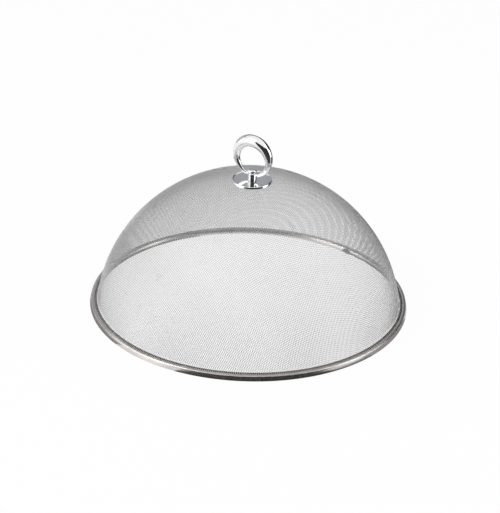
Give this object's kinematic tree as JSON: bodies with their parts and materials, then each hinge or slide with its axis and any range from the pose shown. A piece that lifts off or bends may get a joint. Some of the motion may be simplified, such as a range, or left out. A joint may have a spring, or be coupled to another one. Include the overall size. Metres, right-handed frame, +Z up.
{
  "type": "mesh food cover",
  "caption": "Domed wire mesh food cover with a folded steel rim band and a chromed ring handle that swings on a turned post.",
  "frame": {"origin": "centre of the rim on the table plane, under the middle of the dome", "axes": "+Z up along the dome's axis, X along the ring handle's swing axis"},
  "size_m": [0.35, 0.35, 0.2044],
  "materials": {
    "mesh_steel": "bright drawn wire",
    "rim_steel": "semi-bright rolled band",
    "handle_chrome": "polished plating",
    "plain_steel": "plain zinc-bright steel"
  },
  "bodies": {
    "cover": {"warp_wires_odd": "mesh_steel", "warp_wires_even": "mesh_steel", "weft_wires_odd": "mesh_steel", "weft_wires_even": "mesh_steel", "mesh_foot": "mesh_steel", "rim_band": "rim_steel", "rim_core_wire": "plain_steel", "joint_tab": "rim_steel", "joint_rivets": "plain_steel", "knob_plate": "handle_chrome", "handle_post": "handle_chrome", "clamp_washer": "plain_steel", "spring_washer": "plain_steel", "fixing_screw": "plain_steel"},
    "ring": {"ring_handle": "handle_chrome"}
  },
  "joints": [
    {"name": "ring_swing", "type": "hinge", "parent": "cover", "child": "ring", "pos_m": [0, 0, 0.15857], "axis": [1, 0, 0], "range_deg": [-95, 95]}
  ]
}
